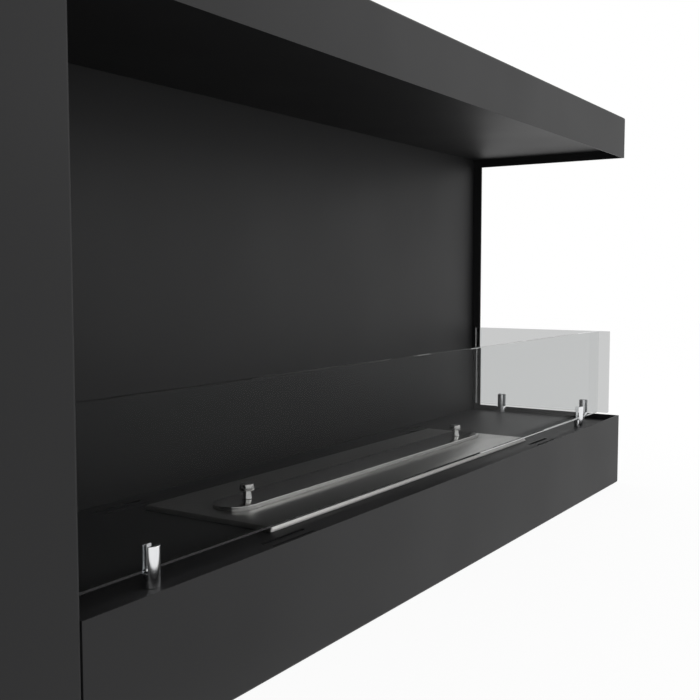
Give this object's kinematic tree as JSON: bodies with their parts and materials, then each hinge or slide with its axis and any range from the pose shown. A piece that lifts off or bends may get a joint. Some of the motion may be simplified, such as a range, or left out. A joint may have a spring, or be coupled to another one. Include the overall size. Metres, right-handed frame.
{
  "type": "bioethanol fireplace",
  "caption": "Built-in corner bioethanol fireplace in black sheet steel, open to the front and right, with a drop-in burner, a snuffer lid and glass guards",
  "frame": {"origin": "centre of the underside of the casing", "axes": "the opening faces -Y and +X, the closed column is at -X, the rear panel is at +Y, and the hood is at +Z"},
  "size_m": [1.02, 0.25, 0.5],
  "materials": {
    "black_steel": "matt black powder coat on folded sheet steel",
    "zinc_steel": "zinc-plated sheet steel, plain",
    "brushed_steel": "stainless steel, brushed along its length",
    "chrome": "polished chrome plate",
    "smoked_glass": "clear toughened glass with a faint grey tint",
    "rubber": "black silicone rubber",
    "ceramic_wool": "off-white ceramic fibre, matt"
  },
  "bodies": {
    "casing": {"base_front_panel": "black_steel", "base_right_panel": "black_steel", "hood_front_panel": "black_steel", "hood_right_panel": "black_steel", "column_shell": "black_steel", "column_foot_cap": "black_steel", "column_top_cap": "black_steel", "rear_post": "black_steel", "rear_panel": "zinc_steel", "deck": "black_steel", "ceiling": "black_steel", "back_wall": "black_steel", "floor_panel": "zinc_steel", "hood_top": "zinc_steel", "wall_spacer_left": "zinc_steel", "wall_spacer_middle": "zinc_steel", "wall_spacer_right": "zinc_steel", "deck_channel_left": "zinc_steel", "deck_channel_right": "zinc_steel", "hood_channel_left": "zinc_steel", "hood_channel_right": "zinc_steel", "glass_holder_front_left": "chrome", "glass_holder_front_right": "chrome", "glass_holder_side_front": "chrome", "glass_holder_side_rear": "chrome", "glass_pad_front_left": "rubber", "glass_pad_front_right": "rubber", "glass_pad_side_front": "rubber", "glass_pad_side_rear": "rubber", "holder_screw_front_left": "zinc_steel", "holder_screw_front_right": "zinc_steel", "holder_screw_side_front": "zinc_steel", "holder_screw_side_rear": "zinc_steel", "floor_screw_front_left": "zinc_steel", "floor_screw_front_right": "zinc_steel", "floor_screw_side": "zinc_steel", "hood_screw_front_left": "zinc_steel", "hood_screw_front_right": "zinc_steel", "hood_screw_side": "zinc_steel", "rear_screw_low_left": "zinc_steel", "rear_screw_low_right": "zinc_steel", "rear_screw_high_left": "zinc_steel", "rear_screw_high_right": "zinc_steel"},
    "burner": {"burner_plate": "brushed_steel", "fuel_tank": "brushed_steel", "spill_tray": "brushed_steel", "slot_rail_front": "brushed_steel", "slot_rail_rear": "brushed_steel", "slot_end_left": "brushed_steel", "slot_end_right": "brushed_steel", "ceramic_wool": "ceramic_wool"},
    "lid": {"lid": "brushed_steel", "lid_knob_left": "brushed_steel", "lid_knob_right": "brushed_steel"},
    "front_pane": {"front_glass": "smoked_glass"},
    "side_pane": {"side_glass": "smoked_glass"}
  },
  "joints": [
    {"name": "burner_lift", "type": "slide", "parent": "casing", "child": "burner", "axis": [0, 0, 1], "range_m": [0, 0.1]},
    {"name": "lid_lift", "type": "slide", "parent": "burner", "child": "lid", "axis": [0, 0, 1], "range_m": [0, 0.08]},
    {"name": "front_glass_lift", "type": "slide", "parent": "casing", "child": "front_pane", "axis": [0, 0, 1], "range_m": [0, 0.12]},
    {"name": "side_glass_lift", "type": "slide", "parent": "casing", "child": "side_pane", "axis": [0, 0, 1], "range_m": [0, 0.12]}
  ]
}
